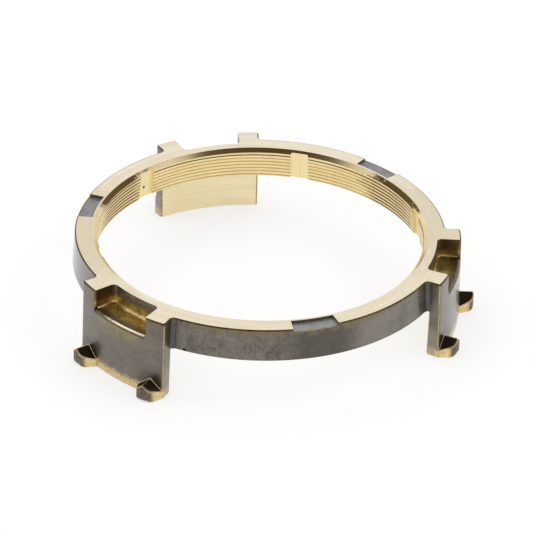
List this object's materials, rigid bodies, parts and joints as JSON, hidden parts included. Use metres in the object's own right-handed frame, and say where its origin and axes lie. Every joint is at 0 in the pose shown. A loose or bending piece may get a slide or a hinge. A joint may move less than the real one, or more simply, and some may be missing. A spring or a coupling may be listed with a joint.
{
  "type": "synchronizer ring",
  "caption": "Forged brass synchronizer ring with a grooved friction cone inside, drive lugs with key pockets below the rim and roofed blocking teeth at the lugs' feet.",
  "frame": {"origin": "on the ring's axis, in the plane of its lower face, where the friction cone is widest", "axes": "+Z along the axis towards the plain top face, away from the lugs' feet; +Y through the middle of one lug"},
  "size_m": [0.1462, 0.1407, 0.0292],
  "materials": {
    "brass": "turned bright, with dark forged skin outside"
  },
  "bodies": {
    "root": {"synchronizer_ring": "brass"}
  },
  "joints": []
}
